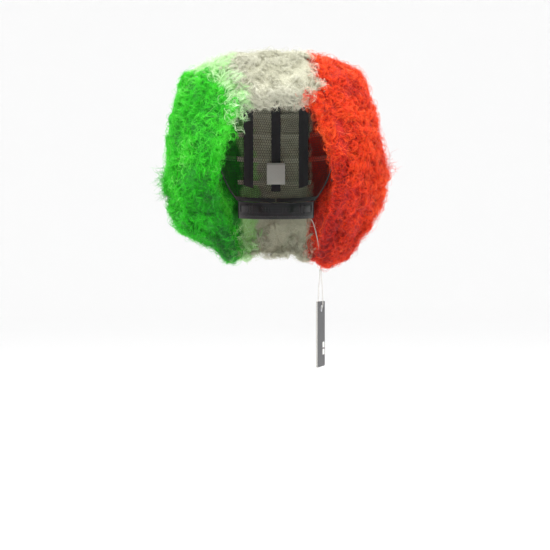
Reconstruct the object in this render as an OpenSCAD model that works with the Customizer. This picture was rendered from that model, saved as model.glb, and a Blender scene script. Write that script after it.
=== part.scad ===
// Three-colour costume wig: a stretch-net cap with sewn wefts, curly hair in three colours,
// nape adjusters, ear tabs, a care label and a swing tag on a string loop.
// Z is up, the face looks along -Y, and the wearer's left is +X.
// The origin is the centre of the head space, level with the tops of the ears.

/* [Head space] */
// Width of the space for the head, ear to ear
head_w = 152; // [146:1:158]
// Length of the space for the head, forehead to back
head_l = 194; // [188:1:200]
// Height of the crown of the head above the origin
head_h = 98; // [94:1:101]

/* [Hair] */
// Full width of the hair
hair_w = 280; // [270:1:292]
// Full depth of the hair, front to back
hair_d = 270; // [260:1:280]
// Height of the hair above the origin
hair_top = 121; // [116:1:126]
// Drop of the hair below the origin
hair_drop = 147; // [142:1:152]
// Where the green hair meets the white hair, on the wearer's right
green_edge = -52; // [-56:1:-48]
// Where the white hair meets the orange hair, on the wearer's left
orange_edge = 42; // [38:1:46]

/* [Face opening] */
// Height of the hairline above the origin
hairline_h = 50; // [48:1:52]
// Width of the opening at the cheeks
face_w = 140; // [134:1:144]
// Width of the opening at the bottom
throat_w = 92; // [86:1:98]

/* [Cap] */
// Height of the front edge band
band_w = 20; // [16:1:22]
// Thickness of the stretch net
net_t = 0.8; // [0.6:0.1:0.9]
// Width of a cap tape
tape_w = 12; // [8:1:14]
// Height of a sewn weft
weft_w = 6; // [4:1:7]

/* [Nape adjusters] */
// Radius of the nape band's inner face
nape_r = 50; // [49:0.5:51]
// Width of an adjuster strap
strap_w = 8; // [7:0.5:9]
// How far a strap slides round the nape, in degrees
strap_travel = 20; // [10:1:20]

/* [Swing tag] */
// Width of the tag's card
tag_w = 45; // [40:1:50]
// Length of the tag's card
tag_l = 82; // [74:1:88]
// Diameter of the tag's string
string_d = 1.2; // [1:0.1:1.4]

/* [Hidden] */

// Colours
green = [0.24, 0.75, 0.2];
ivory = [0.86, 0.84, 0.76];
orange = [0.93, 0.26, 0.12];

// Layers of the cap, as distances outside the head space
tape_layer = [0.05, 0.35];
cross_tape_layer = [0.55, 0.85];
stay_layer = [0.25, 0.95];
lining_layer = [0.05, 0.8];
net_layer = [1.2, 1.2 + net_t];
weft_layer = [2.35, 3.7];
hair_gap = 4.7;

// Degrees of arc on the head for one millimetre
deg_per_mm = 180 / (PI * head_l / 2);
band_e = band_w * deg_per_mm;
weft_e = weft_w * deg_per_mm;

// Azimuth step of the cap's pieces, which share it so that their facets lie along each other
cap_step = 5;

// The cap's edge: elevation against azimuth from the front, the same on both sides
edge_profile = [
    [0, 31], [40, 30], [60, 16], [70, 4], [100, 4], [110, -12], [120, -30], [125, -37], [180, -37.5]
];
cap_side_a = 100;
seam_gap = 0.5;

// Lining and tapes: how far round the head they reach, in degrees
lining_reach = 45;
side_tape_x = 36;
tape_front_e = [44, 50];
tape_back_e = -28;
cross_tape_e = 10;

// Elevations of the rows of wefts, from the nape to the crown
rows_e = [-22, -4, 14, 30, 45, 66];
weft_step = 6;

// Ear tabs: azimuths of their two sides, their top seam and their tip
tab_a = [70, 86];
tab_top_e = 3.5;
tab_tip_e = -24;
tab_taper = 4;

// Nape: the band's centre line is a circle round a vertical axis behind the neck
nape_y = 28;
nape_z = [-79.5, -61.5];
nape_reach = 72;
nape_t = 1.2;
elastic_h = 3.5;
strap_t = 1;
strap_gap = 0.9;
strap_span = [strap_travel + 8, strap_travel + 48];
strap_z = (nape_z[0] + nape_z[1]) / 2;
guide_angles = [40, 46];
ladder_angles = [10, 15, 20, 25, 30];
hook_reach = 7;
bore_fn = 96;
strap_out = nape_r - strap_gap;
strap_in = strap_out - strap_t;

// Care label: hangs from its top seam inside the back of the cap
label_size = [24, 30];
label_t = 0.4;
label_top = [0, 93.2, -8];
label_lean = 15;

// Swing tag
tag_pivot = [56, 10, -150];
tag_turn = 76;
tag_hole_drop = 48;
tag_hole_inset = 9;
leaf_t = 0.7;
leaf_gap = 0.3;
eyelet_r = [2.6, 4.4];
patch_size = [10, 7];
patch_drops = [49.5, 58.5];
// The card stands on edge to the front; its normal leans a little forward
tag_normal = [sin(tag_turn), -cos(tag_turn), 0];
tag_side = [cos(tag_turn), sin(tag_turn), 0];
tag_hole = tag_pivot - [0, 0, tag_hole_drop];

// Fixed end of the tag's string, tied to the nape band and lying down the inside of the hair
anchor_route = [
    [45.6, 43.9, -84.6], [48, 40, -90], [50.5, 34, -99], [53, 26, -112], [55, 17, -130], [56, 11, -143],
    [56, 10, -150]
];
// The free loop, from its knot to the eyelet: [distance out from the card, height above the hole]
half_loop = [
    [0.8, 48], [1, 42], [1.6, 34], [2.2, 26], [2.6, 18], [2.9, 12], [3, 7.5], [2.8, 4], [2, 1.4], [0.8, 0.4]
];
loop_drop = 0.2;

// Hair: the exponent of its plan, and its outline from the bottom to the top, as
// [share of the height above or below the origin, share of the width on the wearer's right,
// share of the width on the wearer's left, share of the depth]
plan_power = 2.3;
hair_profile = [
    [-1, 0.28, 0.44, 0.3], [-0.96, 0.46, 0.61, 0.46], [-0.89, 0.535, 0.685, 0.6],
    [-0.81, 0.64, 0.74, 0.7], [-0.72, 0.87, 0.785, 0.785], [-0.61, 0.96, 0.885, 0.86],
    [-0.46, 0.97, 0.965, 0.935], [-0.285, 1, 1, 0.985], [-0.095, 1, 1, 1],
    [0.1, 0.985, 0.97, 0.995], [0.3, 0.97, 0.93, 0.965], [0.5, 0.91, 0.865, 0.9],
    [0.66, 0.87, 0.81, 0.805], [0.785, 0.8, 0.755, 0.7], [0.87, 0.68, 0.65, 0.6],
    [0.934, 0.57, 0.57, 0.49], [0.98, 0.44, 0.44, 0.37], [1, 0.285, 0.285, 0.24]
];
depth_column = 3;
hair_y = 10;
hair_cols = 30;
head_steps = [48, 20];
section_gap = 0.15;
// Clumps of curls that break the outline: [azimuth, height, radius, distance out]
clumps = [
    [-84, 82, 22, 9], [80, 78, 22, 3], [-30, 92, 22, 3], [24, 96, 20, 3], [-92, 20, 24, 2],
    [92, 10, 24, 2], [-90, -44, 24, 4], [90, -30, 24, 4], [68, -92, 22, 3], [-64, -90, 22, 3],
    [140, 80, 26, 3], [-140, 80, 26, 3], [180, 20, 28, 3], [150, -80, 26, 3], [-148, -80, 26, 3],
    [-24, 66, 18, 3], [26, 62, 18, 3]
];
clump_fn = 10;
// Outline of the face opening: [drop below the hairline, share of its full width]
face_profile = [
    [0, 0.38], [2.5, 0.47], [6, 0.55], [15, 0.635], [30, 0.725], [41, 0.81], [61, 0.925],
    [88, 0.985], [106, 1], [128, 0.955], [150, 0.85]
];
front_cut = -35;
back_cut = 38;
far = 400;

// ---------------------------------------------------------------- shared shapes

// Point at azimuth a (0 is the front, 90 the wearer's left) and elevation e,
// at a distance out from the head space.
function cap_point(a, e, out) = [
    (head_w / 2 + out) * cos(e) * sin(a),
    -(head_l / 2 + out) * cos(e) * cos(a),
    (head_h + out) * sin(e)
];

// Elevation of the cap's edge, and the height in degrees of the band or binding on it
function cap_edge(a) = lookup(abs(a), edge_profile);
function rim_height(a) = abs(a) < cap_side_a ? band_e : weft_e;

// Grid of cap points between two azimuths: low(a) and high(a) are elevations
function cap_grid(a0, a1, low, high, out, steps, rows = 1) = [
    for (r = [0:rows]) [
        for (c = [0:steps])
            let (a = a0 + (a1 - a0) * c / steps)
            cap_point(a, low(a) + (high(a) - low(a)) * r / rows, out)
    ]
];

// Unit direction at azimuth a and elevation e
function aim(a, e) = [cos(e) * sin(a), -cos(e) * cos(a), sin(e)];

// Radius of the hair in plan, at an azimuth, from its width and depth at that height
function hair_radius(a, width, depth) =
    pow(
        pow(abs(sin(a)) * 2 / width, plan_power) + pow(abs(cos(a)) * 2 / depth, plan_power),
        -1 / plan_power
    );

// Column of the hair's outline that holds its width on the side where azimuth a points
function width_column(a) = sin(a) < 0 ? 1 : 2;

// Share of the hair's width or depth, from a column of its outline, at a share of its height
function hair_share(share, column) = lookup(share, [for (p = hair_profile) [p[0], p[column]]]);

function split(p, q, r, s) = [[p, q, r], [p, r, s]];

// Closed solid between an inner and an outer grid of points, rows by columns
module thick_sheet(inner, outer) {
    rows = len(inner) - 1;
    cols = len(inner[0]) - 1;
    count = (rows + 1) * (cols + 1);
    points = [for (grid = [inner, outer]) for (row = grid) each row];
    function at(side, r, c) = side * count + r * (cols + 1) + c;
    skins = [
        for (r = [0:rows - 1]) for (c = [0:cols - 1]) each concat(
            split(at(1, r, c), at(1, r + 1, c), at(1, r + 1, c + 1), at(1, r, c + 1)),
            split(at(0, r, c), at(0, r, c + 1), at(0, r + 1, c + 1), at(0, r + 1, c))
        )
    ];
    long_rims = [
        for (c = [0:cols - 1]) each concat(
            split(at(1, 0, c), at(1, 0, c + 1), at(0, 0, c + 1), at(0, 0, c)),
            split(at(1, rows, c + 1), at(1, rows, c), at(0, rows, c), at(0, rows, c + 1))
        )
    ];
    short_rims = [
        for (r = [0:rows - 1]) each concat(
            split(at(1, r + 1, 0), at(1, r, 0), at(0, r, 0), at(0, r + 1, 0)),
            split(at(1, r, cols), at(1, r + 1, cols), at(0, r + 1, cols), at(0, r, cols))
        )
    ];
    polyhedron(points, concat(skins, long_rims, short_rims));
}

// Strip of the cap between two azimuths and two elevation functions
module cap_strip(a0, a1, low, high, layer, steps, rows = 1) {
    thick_sheet(
        cap_grid(a0, a1, low, high, layer[0], steps, rows),
        cap_grid(a0, a1, low, high, layer[1], steps, rows)
    );
}

// Closed solid from a stack of rings of points, bottom to top, with its two end points
module ring_solid(rings, low_point, high_point) {
    cols = len(rings[0]);
    top = len(rings) - 1;
    low = (top + 1) * cols;
    high = low + 1;
    function at(r, c) = r * cols + c % cols;
    sides = [
        for (r = [0:top - 1]) for (c = [0:cols - 1])
            each split(at(r, c), at(r + 1, c), at(r + 1, c + 1), at(r, c + 1))
    ];
    ends = [
        for (c = [0:cols - 1])
            each [[low, at(0, c), at(0, c + 1)], [high, at(top, c + 1), at(top, c)]]
    ];
    polyhedron([for (ring = rings) each ring, low_point, high_point], concat(sides, ends));
}

// Arc of a flat band round the nape's vertical axis; angle 0 is straight back
module nape_arc(r0, r1, z0, z1, from, to) {
    translate([0, nape_y, z0])
        rotate(90 - to)
            rotate_extrude(angle = to - from, $fn = bore_fn)
                translate([r0, 0])
                    square([r1 - r0, z1 - z0]);
}

// ---------------------------------------------------------------- cap

// Domed net: a closed shell from the cap's edge to the crown
module crown_net() {
    cols = 360 / cap_step;
    rings = 16;
    function net_row(out) = [
        for (r = [0:rings - 1]) for (c = [0:cols - 1])
            let (
                a = -180 + cap_step * c,
                low = cap_edge(a) + rim_height(a) + seam_gap
            )
            cap_point(a, low + (90 - low) * r / rings, out)
    ];
    points = concat(
        net_row(net_layer[0]), net_row(net_layer[1]),
        [cap_point(0, 90, net_layer[0]), cap_point(0, 90, net_layer[1])]
    );
    count = cols * rings;
    function at(side, r, c) = side * count + r * cols + c % cols;
    skins = [
        for (r = [0:rings - 2]) for (c = [0:cols - 1]) each concat(
            split(at(1, r, c), at(1, r + 1, c), at(1, r + 1, c + 1), at(1, r, c + 1)),
            split(at(0, r, c), at(0, r, c + 1), at(0, r + 1, c + 1), at(0, r + 1, c))
        )
    ];
    rim = [
        for (c = [0:cols - 1])
            each split(at(1, 0, c), at(1, 0, c + 1), at(0, 0, c + 1), at(0, 0, c))
    ];
    crown = [
        for (c = [0:cols - 1]) each [
            [2 * count + 1, at(1, rings - 1, c + 1), at(1, rings - 1, c)],
            [2 * count, at(0, rings - 1, c), at(0, rings - 1, c + 1)]
        ]
    ];
    color([0.12, 0.12, 0.13])
        polyhedron(points, concat(skins, rim, crown));
}

// Edge band over the forehead and down to the ears
module front_band() {
    color([0.08, 0.08, 0.09])
        cap_strip(
            -cap_side_a, cap_side_a, function(a) cap_edge(a),
            function(a) cap_edge(a) + rim_height(a), net_layer, 2 * cap_side_a / cap_step, 3
        );
}

// Soft strip inside the edge band, against the forehead
module forehead_lining() {
    inset = 2.5 * deg_per_mm;
    color([0.15, 0.14, 0.15])
        cap_strip(
            -lining_reach, lining_reach, function(a) cap_edge(a) + inset,
            function(a) cap_edge(a) + band_e - inset, lining_layer, 2 * lining_reach / cap_step, 3
        );
}

// Turned binding along the net's raw edge, from behind the ear to the middle of the nape
module edge_binding(side) {
    start = cap_side_a + seam_gap;
    end = 180 - seam_gap;
    color([0.1, 0.1, 0.11])
        cap_strip(
            min(side * start, side * end), max(side * start, side * end), function(a) cap_edge(a),
            function(a) cap_edge(a) + weft_e, net_layer, round((end - start) / cap_step)
        );
}

// Flat band round the nape, below the net
module nape_band() {
    color([0.09, 0.09, 0.1])
        nape_arc(nape_r, nape_r + nape_t, nape_z[0], nape_z[1], -nape_reach, nape_reach);
}

// Elastic in the nape's lower hem
module nape_elastic() {
    hem = nape_z[0] - 0.1;
    color([0.2, 0.2, 0.2])
        nape_arc(nape_r, nape_r + nape_t, hem - elastic_h, hem, -nape_reach, nape_reach);
}

// Tape over the crown from front to back, at one distance to the side
module long_tape(x, front_e) {
    steps = 32;
    function tape_row(dx, out) = [
        for (i = [0:steps])
            let (
                t = front_e + (180 - tape_back_e - front_e) * i / steps,
                k = sqrt(1 - pow((x + dx) / (head_w / 2 + out), 2))
            )
            [x + dx, -(head_l / 2 + out) * k * cos(t), (head_h + out) * k * sin(t)]
    ];
    function skin(out) = [for (share = [0.5, 0, -0.5]) tape_row(share * tape_w, out)];
    color([0.16, 0.16, 0.17])
        thick_sheet(skin(tape_layer[0]), skin(tape_layer[1]));
}

// Tape over the crown from one ear to the other
module ear_to_ear_tape() {
    steps = 32;
    function tape_row(dy, out) = [
        for (i = [0:steps])
            let (
                t = cross_tape_e + (180 - 2 * cross_tape_e) * i / steps,
                k = sqrt(1 - pow(dy / (head_l / 2 + out), 2))
            )
            [-(head_w / 2 + out) * k * cos(t), dy, (head_h + out) * k * sin(t)]
    ];
    function skin(out) = [for (share = [-0.5, 0, 0.5]) tape_row(share * tape_w, out)];
    color([0.16, 0.16, 0.17])
        thick_sheet(skin(cross_tape_layer[0]), skin(cross_tape_layer[1]));
}

// Rounded flap in front of the ear, narrower at its tip
module ear_tab(side) {
    rows = 5;
    cols = 4;
    function tab_grid(out) = [
        for (r = [0:rows])
            let (
                rise = r / rows,
                inset = tab_taper * pow(1 - rise, 3)
            )
            [
                for (c = [0:cols])
                    let (a = tab_a[0] + inset + (tab_a[1] - tab_a[0] - 2 * inset) * c / cols)
                    cap_point(a, tab_tip_e + (tab_top_e - tab_tip_e) * rise, out)
            ]
    ];
    color([0.1, 0.1, 0.11])
        scale([side, 1, 1])
            thick_sheet(tab_grid(net_layer[0]), tab_grid(net_layer[1]));
}

// Bendable stay sewn to the inside of an ear tab
module ear_stay(side) {
    middle = (tab_a[0] + tab_a[1]) / 2;
    reach = 2 * deg_per_mm;
    color([0.75, 0.75, 0.77])
        scale([side, 1, 1])
            cap_strip(
                middle - reach, middle + reach, function(a) tab_tip_e + 3,
                function(a) tab_top_e - 2, stay_layer, 2, 5
            );
}

// Stitched header of one weft: a level row between two azimuths
module weft(tint, row, from, to) {
    e = rows_e[row];
    color(tint)
        cap_strip(
            from, to, function(a) e, function(a) e + weft_e, weft_layer, ceil((to - from) / weft_step)
        );
}

module green_weft_1() { weft(green, 1, -138, -109); }
module green_weft_2() { weft(green, 2, -136, -68); }
module green_weft_3() { weft(green, 3, -126, -56); }
module green_weft_4() { weft(green, 4, -106, -76); }

module orange_weft_1() { weft(orange, 1, 109, 146); }
module orange_weft_2() { weft(orange, 2, 66, 144); }
module orange_weft_3() { weft(orange, 3, 52, 138); }
module orange_weft_4() { weft(orange, 4, 54, 124); }

module white_weft_1() { weft(ivory, 0, 142, 222); }
module white_weft_2() { weft(ivory, 1, 148, 220); }
module white_weft_3() { weft(ivory, 2, 147, 222); }
module white_weft_4() { weft(ivory, 3, 141, 231); }
module white_weft_5() { weft(ivory, 4, 127, 251); }
module white_weft_6() { weft(ivory, 4, -70, 51); }
// The crown's weft is a ring of two half turns
module white_weft_7() {
    ring_gap = 0.1;
    weft(ivory, 5, -90 + ring_gap, 90);
    weft(ivory, 5, 90 + ring_gap, 270);
}

// ---------------------------------------------------------------- hair

// The whole head of hair before it is cut into its sections
module hair_mass() {
    rings = [
        for (p = hair_profile) [
            for (c = [0:hair_cols - 1])
                let (
                    a = 360 * c / hair_cols,
                    r = hair_radius(a, p[width_column(a)] * hair_w, p[depth_column] * hair_d)
                )
                [r * sin(a), hair_y - r * cos(a), p[0] * (p[0] > 0 ? hair_top : hair_drop)]
        ]
    ];
    ring_solid(rings, [0, hair_y, -hair_drop], [0, hair_y, hair_top]);
    for (c = clumps) {
        share = c[1] / (c[1] > 0 ? hair_top : hair_drop);
        width = hair_share(share, width_column(c[0])) * hair_w;
        depth = hair_share(share, depth_column) * hair_d;
        out = hair_radius(c[0], width, depth) - c[2] + c[3];
        hull()
            for (near = [1, 0.8])
                translate([near * out * sin(c[0]), hair_y - near * out * cos(c[0]), near * c[1]])
                    sphere(c[2], $fn = clump_fn);
    }
}

// The space inside the hair: head, neck and face
module hair_hollow() {
    cap_r = [head_w / 2 + hair_gap, head_l / 2 + hair_gap, head_h + hair_gap];
    cols = head_steps[0];
    rows = head_steps[1];
    rings = [
        for (r = [1:rows]) [
            for (c = [0:cols - 1])
                let (d = aim(360 * c / cols, -90 + 180 * r / (rows + 1)))
                d / norm([d[0] / cap_r[0], d[1] / cap_r[1], d[2] / cap_r[2]])
        ]
    ];
    ring_solid(rings, [0, 0, -cap_r[2]], [0, 0, cap_r[2]]);
    neck_top = nape_z[1] + 14;
    translate([0, 0, -far])
        linear_extrude(far + neck_top)
            hull() {
                translate([0, nape_y])
                    circle(nape_r + nape_t + 2.2, $fn = 40);
                translate([0, 2])
                    circle(nape_r + 8.5, $fn = 40);
            }
    half_face = concat(
        [for (p = face_profile) [p[1] * face_w / 2, hairline_h - p[0]]],
        [[throat_w / 2, -hair_drop], [throat_w / 2, -2 * hair_drop]]
    );
    translate([0, -2, 0])
        rotate([90, 0, 0])
            linear_extrude(far)
                for (side = [0, 1])
                    mirror([side, 0])
                        polygon(concat(half_face, [[-1, -2 * hair_drop], [-1, hairline_h]]));
}

// One section of the hair between two x planes and two y planes
module hair_section(tint, x0, x1, y0, y1) {
    color(tint)
        intersection() {
            difference() {
                hair_mass();
                hair_hollow();
            }
            translate([x0 + section_gap, y0 + section_gap, -far / 2])
                cube([x1 - x0 - 2 * section_gap, y1 - y0 - 2 * section_gap, far]);
        }
}

module green_front_hair() { hair_section(green, -far, green_edge, -far, front_cut); }
module green_side_hair() { hair_section(green, -far, green_edge, front_cut, back_cut); }
module green_back_hair() { hair_section(green, -far, green_edge, back_cut, far); }
module white_fringe() { hair_section(ivory, green_edge, orange_edge, -far, front_cut); }
module white_crown() { hair_section(ivory, green_edge, orange_edge, front_cut, back_cut); }
module white_back_hair() { hair_section(ivory, green_edge, orange_edge, back_cut, far); }
module orange_front_hair() { hair_section(orange, orange_edge, far, -far, front_cut); }
module orange_side_hair() { hair_section(orange, orange_edge, far, front_cut, back_cut); }
module orange_back_hair() { hair_section(orange, orange_edge, far, back_cut, far); }

// ---------------------------------------------------------------- nape adjusters

// Arc on one side of the nape: from and to are degrees away from the middle of the back
module side_arc(side, r0, r1, z0, z1, from, to) {
    nape_arc(r0, r1, z0, z1, min(side * from, side * to), max(side * from, side * to));
}

// Thread loops on one side: two that the strap runs through, and a ladder for its hook
module adjuster_loops(side) {
    reach = strap_w / 2 + 0.6;
    leg = 1;
    bar_in = strap_in - 1.2;
    bar_out = strap_in - 0.4;
    seat = nape_r - 0.03;
    width = 1.6;
    color([0.13, 0.13, 0.14]) {
        for (g = guide_angles) {
            side_arc(side, bar_in, bar_out, strap_z - reach - leg, strap_z + reach + leg, g, g + width);
            for (z = [strap_z - reach - leg, strap_z + reach])
                side_arc(side, bar_in, seat, z, z + leg, g, g + width);
        }
        for (g = ladder_angles)
            side_arc(side, nape_r - 0.5, seat, strap_z - 3, strap_z + 3, g, g + 1);
    }
}

// Strap that slides round the nape through its loops
module adjuster_strap(side) {
    color([0.06, 0.06, 0.07])
        side_arc(
            side, strap_in, strap_out, strap_z - strap_w / 2, strap_z + strap_w / 2,
            strap_span[0], strap_span[1]
        );
}

// Flat hook on the strap's end: a plate with a slot that leaves two claws
module strap_hook(side) {
    plate = 3.4;
    claw = 2;
    tip = strap_span[0] - 0.1;
    z0 = strap_z - strap_w / 2;
    z1 = strap_z + strap_w / 2;
    color([0.05, 0.05, 0.05])
        difference() {
            side_arc(side, strap_in, strap_out, z0, z1, tip - hook_reach, tip);
            side_arc(
                side, strap_in - 1, strap_out + 1, z0 + claw, z1 - claw,
                tip - hook_reach - 1, tip - plate
            );
        }
}

// ---------------------------------------------------------------- label and tag

// Blank satin label, folded once, hanging from its top seam
module care_label() {
    color([0.93, 0.93, 0.92])
        translate(label_top)
            rotate([-label_lean, 0, 0])
                translate([-label_size[0] / 2, -label_t, -label_size[1]])
                    cube([label_size[0], label_t, label_size[1]]);
}

// Tube swept along a route, eight sides, square across each point's direction
module swept_tube(route, d) {
    last = len(route) - 1;
    sides = 8;
    function along(i) = route[min(i + 1, last)] - route[max(i - 1, 0)];
    function across(i) =
        let (u = cross(cross(along(i), tag_side), along(i)))
        u / norm(u);
    points = [
        for (i = [0:last]) for (k = [0:sides - 1])
            let (t = along(i) / norm(along(i)), u = across(i), v = cross(t, u))
            route[i] + d / 2 * (cos(45 * k) * u + sin(45 * k) * v)
    ];
    walls = [
        for (i = [0:last - 1]) for (k = [0:sides - 1])
            let (n = (k + 1) % sides)
            each split(i * sides + k, (i + 1) * sides + k, (i + 1) * sides + n, i * sides + n)
    ];
    ends = [[for (k = [0:sides - 1]) k], [for (k = [sides - 1:-1:0]) last * sides + k]];
    polyhedron(points, concat(walls, ends));
}

// Fixed end of the tag's string, from the nape band to the hair's underside
module tag_string_anchor() {
    color("white")
        swept_tube(anchor_route, string_d);
}

// Free loop of the tag's string, down one side, through the eyelet and up the other
module tag_string() {
    far_half = [for (i = [len(half_loop) - 1:-1:0]) [-half_loop[i][0], half_loop[i][1]]];
    route = [
        for (p = concat(half_loop, far_half)) tag_hole + p[0] * tag_normal + [0, 0, p[1] - loop_drop]
    ];
    color("white")
        swept_tube(route, string_d);
}

// Places its children on the tag: x across the card, y up from the hole, z along its normal
module on_tag() {
    translate(tag_hole)
        rotate([0, 0, tag_turn])
            rotate([90, 0, 0])
                children();
}

// One leaf of the folded card, with the eyelet's hole
module tag_leaf(tint, z) {
    corner = 2;
    color(tint)
        on_tag()
            translate([0, 0, z])
                linear_extrude(leaf_t)
                    difference() {
                        translate([0, tag_hole_inset - tag_l / 2])
                            hull()
                                for (x = [-1, 1], y = [-1, 1])
                                    translate([x * (tag_w / 2 - corner), y * (tag_l / 2 - corner)])
                                        circle(corner, $fn = 24);
                        circle(eyelet_r[0] + 0.1, $fn = 40);
                    }
}

module tag_front_leaf() { tag_leaf([0.16, 0.16, 0.18], leaf_gap / 2); }
module tag_back_leaf() { tag_leaf([0.12, 0.12, 0.13], -leaf_gap / 2 - leaf_t); }

// Metal eyelet through both leaves
module tag_eyelet() {
    half = leaf_gap / 2 + leaf_t;
    lip = 0.4;
    color([0.8, 0.8, 0.82])
        on_tag()
            translate([0, 0, -half - lip])
                rotate_extrude($fn = 48)
                    difference() {
                        translate([eyelet_r[0] - 0.5, 0])
                            square([eyelet_r[1] - eyelet_r[0] + 0.5, 2 * (half + lip)]);
                        translate([eyelet_r[0], lip - 0.02])
                            square([far, 2 * half + 0.04]);
                    }
}

// Blank pale patches stuck to the front leaf
module tag_patch() {
    color([0.9, 0.9, 0.88])
        on_tag()
            for (drop = patch_drops)
                translate([tag_w / 2 - patch_size[0] - 4, -drop, leaf_gap / 2 + leaf_t + 0.02])
                    cube([patch_size[0], patch_size[1], 0.15]);
}

// ---------------------------------------------------------------- nodes

crown_net();
front_band();
forehead_lining();
edge_binding(-1);  // right_edge_binding
edge_binding(1);  // left_edge_binding
nape_band();
nape_elastic();
long_tape(0, tape_front_e[0]);  // centre_tape
long_tape(-side_tape_x, tape_front_e[1]);  // right_tape
long_tape(side_tape_x, tape_front_e[1]);  // left_tape
ear_to_ear_tape();
ear_tab(-1);  // right_ear_tab
ear_stay(-1);  // right_ear_stay
ear_tab(1);  // left_ear_tab
ear_stay(1);  // left_ear_stay
green_weft_1();
green_weft_2();
green_weft_3();
green_weft_4();
orange_weft_1();
orange_weft_2();
orange_weft_3();
orange_weft_4();
white_weft_1();
white_weft_2();
white_weft_3();
white_weft_4();
white_weft_5();
white_weft_6();
white_weft_7();
green_front_hair();
green_side_hair();
green_back_hair();
white_fringe();
white_crown();
white_back_hair();
orange_front_hair();
orange_side_hair();
orange_back_hair();
adjuster_loops(-1);  // right_adjuster_loops
adjuster_loops(1);  // left_adjuster_loops
adjuster_strap(-1);  // right_adjuster_strap
strap_hook(-1);  // right_strap_hook
adjuster_strap(1);  // left_adjuster_strap
strap_hook(1);  // left_strap_hook
care_label();
tag_string_anchor();
tag_string();
tag_front_leaf();
tag_back_leaf();
tag_eyelet();
tag_patch();
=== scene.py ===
import math

import bmesh
import bpy
import numpy as np
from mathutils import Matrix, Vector
from mathutils.bvhtree import BVHTree


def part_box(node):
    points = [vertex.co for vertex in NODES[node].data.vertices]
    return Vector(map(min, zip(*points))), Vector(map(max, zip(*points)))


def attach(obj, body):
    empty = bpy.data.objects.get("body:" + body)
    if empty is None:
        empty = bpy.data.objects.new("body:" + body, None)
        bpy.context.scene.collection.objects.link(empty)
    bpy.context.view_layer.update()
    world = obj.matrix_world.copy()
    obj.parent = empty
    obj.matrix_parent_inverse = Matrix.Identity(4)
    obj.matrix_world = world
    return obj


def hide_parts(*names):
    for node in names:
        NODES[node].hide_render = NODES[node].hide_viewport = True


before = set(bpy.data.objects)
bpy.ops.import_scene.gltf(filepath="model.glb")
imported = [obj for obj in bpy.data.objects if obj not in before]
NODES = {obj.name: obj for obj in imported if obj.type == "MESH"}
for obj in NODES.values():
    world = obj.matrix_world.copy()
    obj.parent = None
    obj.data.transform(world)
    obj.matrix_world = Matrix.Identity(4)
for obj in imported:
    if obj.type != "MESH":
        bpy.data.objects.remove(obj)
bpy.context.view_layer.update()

MM = 0.001


# ---- driving values

# Half-axes of the head space, which the cap is fitted to
HEAD = np.array([76.0, 97.0, 98.0]) * MM
# The cap's edge: elevation in degrees against azimuth from the front
EDGE_AZIMUTH = [0, 40, 60, 70, 100, 110, 120, 125, 180]
EDGE_ELEVATION = [31, 30, 16, 4, 4, -12, -30, -37, -37.5]
# The edge band ends at this azimuth on each side, and a binding carries on: heights in degrees
CAP_SIDE = 100
BAND_HEIGHT, BINDING_HEIGHT = 11.8, 3.5
# The nape band's vertical axis and radius, and the space round it where no curls grow
NAPE_Y = 28 * MM
NAPE_RADIUS = 50 * MM
NAPE_SPACE_RADIUS = 60 * MM
NAPE_SPACE_LOW, NAPE_SPACE_HIGH = -96 * MM, -40 * MM

# The tag hangs from its pivot by a loop of string that passes through its eyelet
TAG_PIVOT = np.array([56, 10, -150]) * MM
TAG_HOLE = np.array([56, 10, -198]) * MM
TAG_TURN = math.radians(76)
TAG_NORMAL = np.array([math.sin(TAG_TURN), -math.cos(TAG_TURN), 0])
STRING_DIAMETER = 1.2 * MM
STRING_LAY = 2.4 * MM
# Half of the loop: distance out from the card, and height above the hole, in millimetres
HALF_LOOP = [(0.8, 47.8), (1, 41.8), (1.6, 33.8), (2.2, 25.8), (2.6, 17.8), (2.9, 11.8), (3, 7.3),
             (2.8, 3.8), (2, 1.2), (0.8, 0.2)]
# Middle of the care label's top seam, its flat size and how far it leans from upright
LABEL_TOP = np.array([0, 93.2, -8]) * MM
LABEL_SIZE = (24 * MM, 30 * MM)
LABEL_LEAN = math.radians(15)

SEED = 7
# How many of each kind of strand there are, and how many points each strand has
CLUMPS, STRANDS_IN_CLUMP = 2300, 8
RINGLETS, STRANDS_IN_RINGLET = 260, 3
FLYAWAYS = 5600
TUFT_STRANDS = 80
STRAND_POINTS = 32
FLYAWAY_POINTS = 26
# Wispy tufts that stick out of the sides: place in millimetres, and the way they point
TUFTS = [
    ((-136, -6, -40), (-1, -0.2, -0.1)),
    ((-136, 0, -34), (-1, 0, 0.15)),
    ((-134, -14, -50), (-1, -0.2, -0.35)),
    ((137, -2, -24), (1, -0.2, 0.6)),
]
# Sides of a strand's tube, and the most triangles that one piece may have
TUBE_SIDES = 3
PIECE_TRIANGLES = 190_000
# Half-width of the face opening against depth below the origin, in millimetres
FACE_EDGE = ([-50, -47, -44, -35, -20, -9, 11, 38, 56, 78, 100, 147],
             [27, 33, 38, 44, 51, 57, 65, 69, 70, 67, 60, 46])
# Levels of the face opening's sides and of its upper edge, in millimetres
FACE_LOW, FACE_HIGH, FRINGE_LEVEL = -130, 44, 47.0
# How far the curls' outline stays inside the CAD outline
INSET = 3.0 * MM
# Where one colour's packed bed ends and the next one's starts
GREEN_CUT, ORANGE_CUT = -52 * MM, 42 * MM


# ---- helpers

def unit(v):
    """Vectors scaled to length 1."""
    return v / np.maximum(np.linalg.norm(v, axis=-1, keepdims=True), 1e-12)


def new_object(name, mesh):
    """A mesh as an object in the scene."""
    obj = bpy.data.objects.new(name, mesh)
    bpy.context.scene.collection.objects.link(obj)
    return obj


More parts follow.
